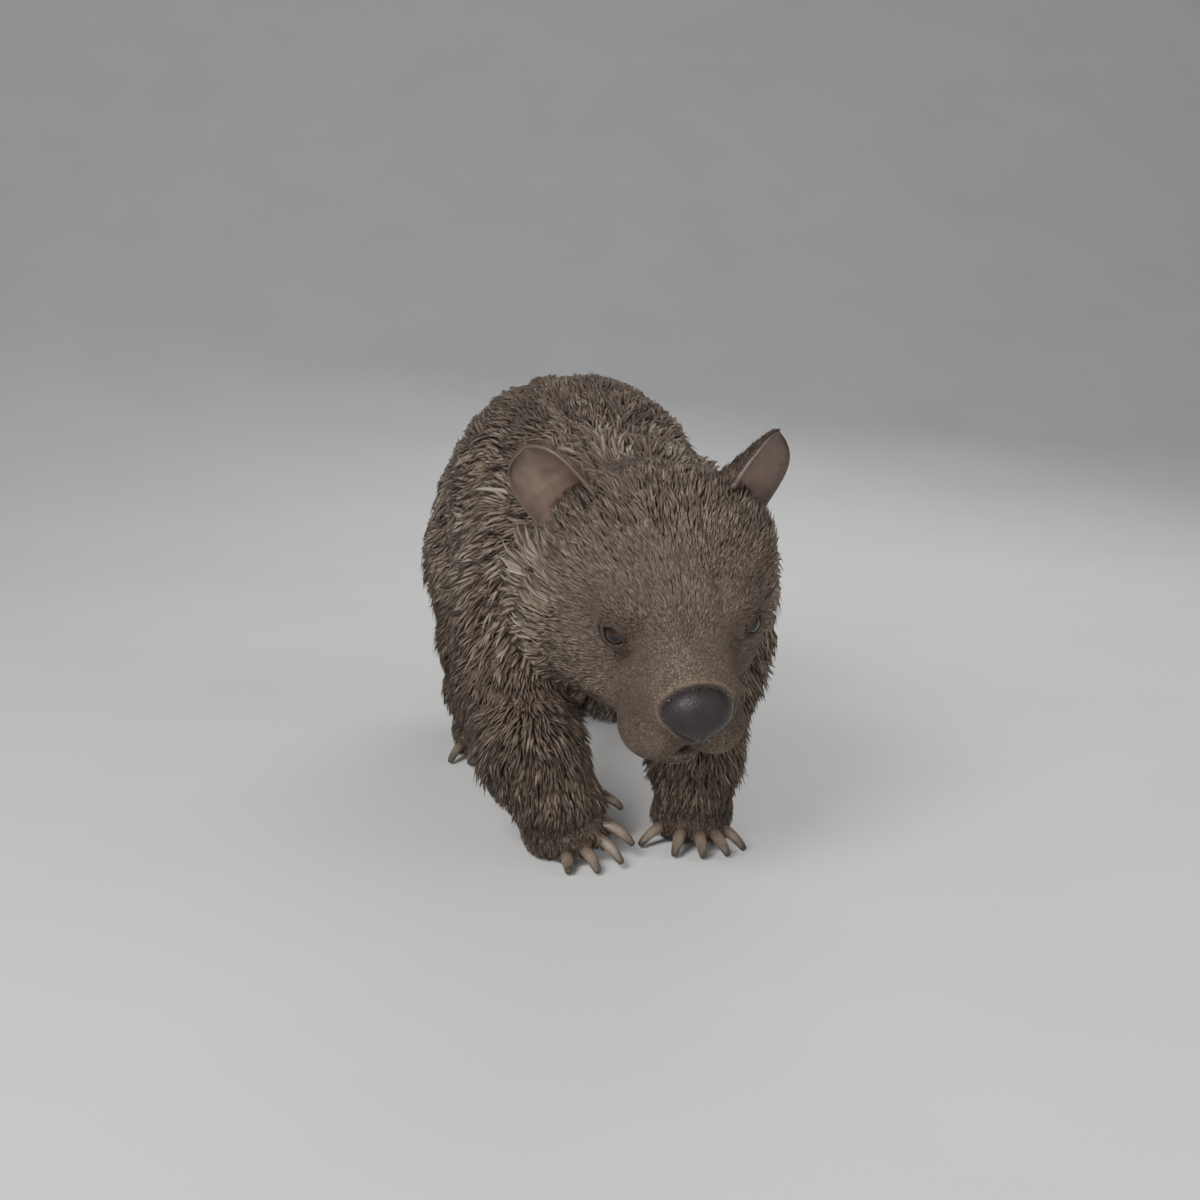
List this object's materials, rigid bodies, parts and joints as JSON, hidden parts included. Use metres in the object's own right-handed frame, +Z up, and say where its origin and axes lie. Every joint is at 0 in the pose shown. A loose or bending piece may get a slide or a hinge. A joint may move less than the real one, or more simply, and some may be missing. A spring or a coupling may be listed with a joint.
{
  "type": "wombat",
  "caption": "Life-size still model of an adult common wombat walking with its head lowered, stout body on four short legs with long digging claws.",
  "frame": {"origin": "on the floor, under the middle of the whole animal", "axes": "+Z up, the animal faces -Y, its left side is +X"},
  "size_m": [0.3056, 0.8784, 0.4054],
  "materials": {
    "coat": "dense coarse grey-brown fur",
    "nose_skin": "bare, finely pebbled, slightly moist dark skin",
    "eyes": "glossy dark brown",
    "claws": "worn dark horn with fine lengthwise grain"
  },
  "bodies": {
    "root": {"head": "coat", "neck": "coat", "torso": "coat", "tail": "coat", "foreleg_right": "coat", "foreleg_left": "coat", "hindleg_right": "coat", "hindleg_left": "coat", "ear_right": "coat", "ear_left": "coat", "nose": "nose_skin", "eye_right": "eyes", "eye_left": "eyes", "claw_foreleg_right_1": "claws", "claw_foreleg_right_2": "claws", "claw_foreleg_right_3": "claws", "claw_foreleg_right_4": "claws", "claw_foreleg_right_5": "claws", "claw_foreleg_left_1": "claws", "claw_foreleg_left_2": "claws", "claw_foreleg_left_3": "claws", "claw_foreleg_left_4": "claws", "claw_foreleg_left_5": "claws", "claw_hindleg_right_1": "claws", "claw_hindleg_right_2": "claws", "claw_hindleg_right_3": "claws", "claw_hindleg_right_4": "claws", "claw_hindleg_left_1": "claws", "claw_hindleg_left_2": "claws", "claw_hindleg_left_3": "claws", "claw_hindleg_left_4": "claws"}
  },
  "joints": []
}
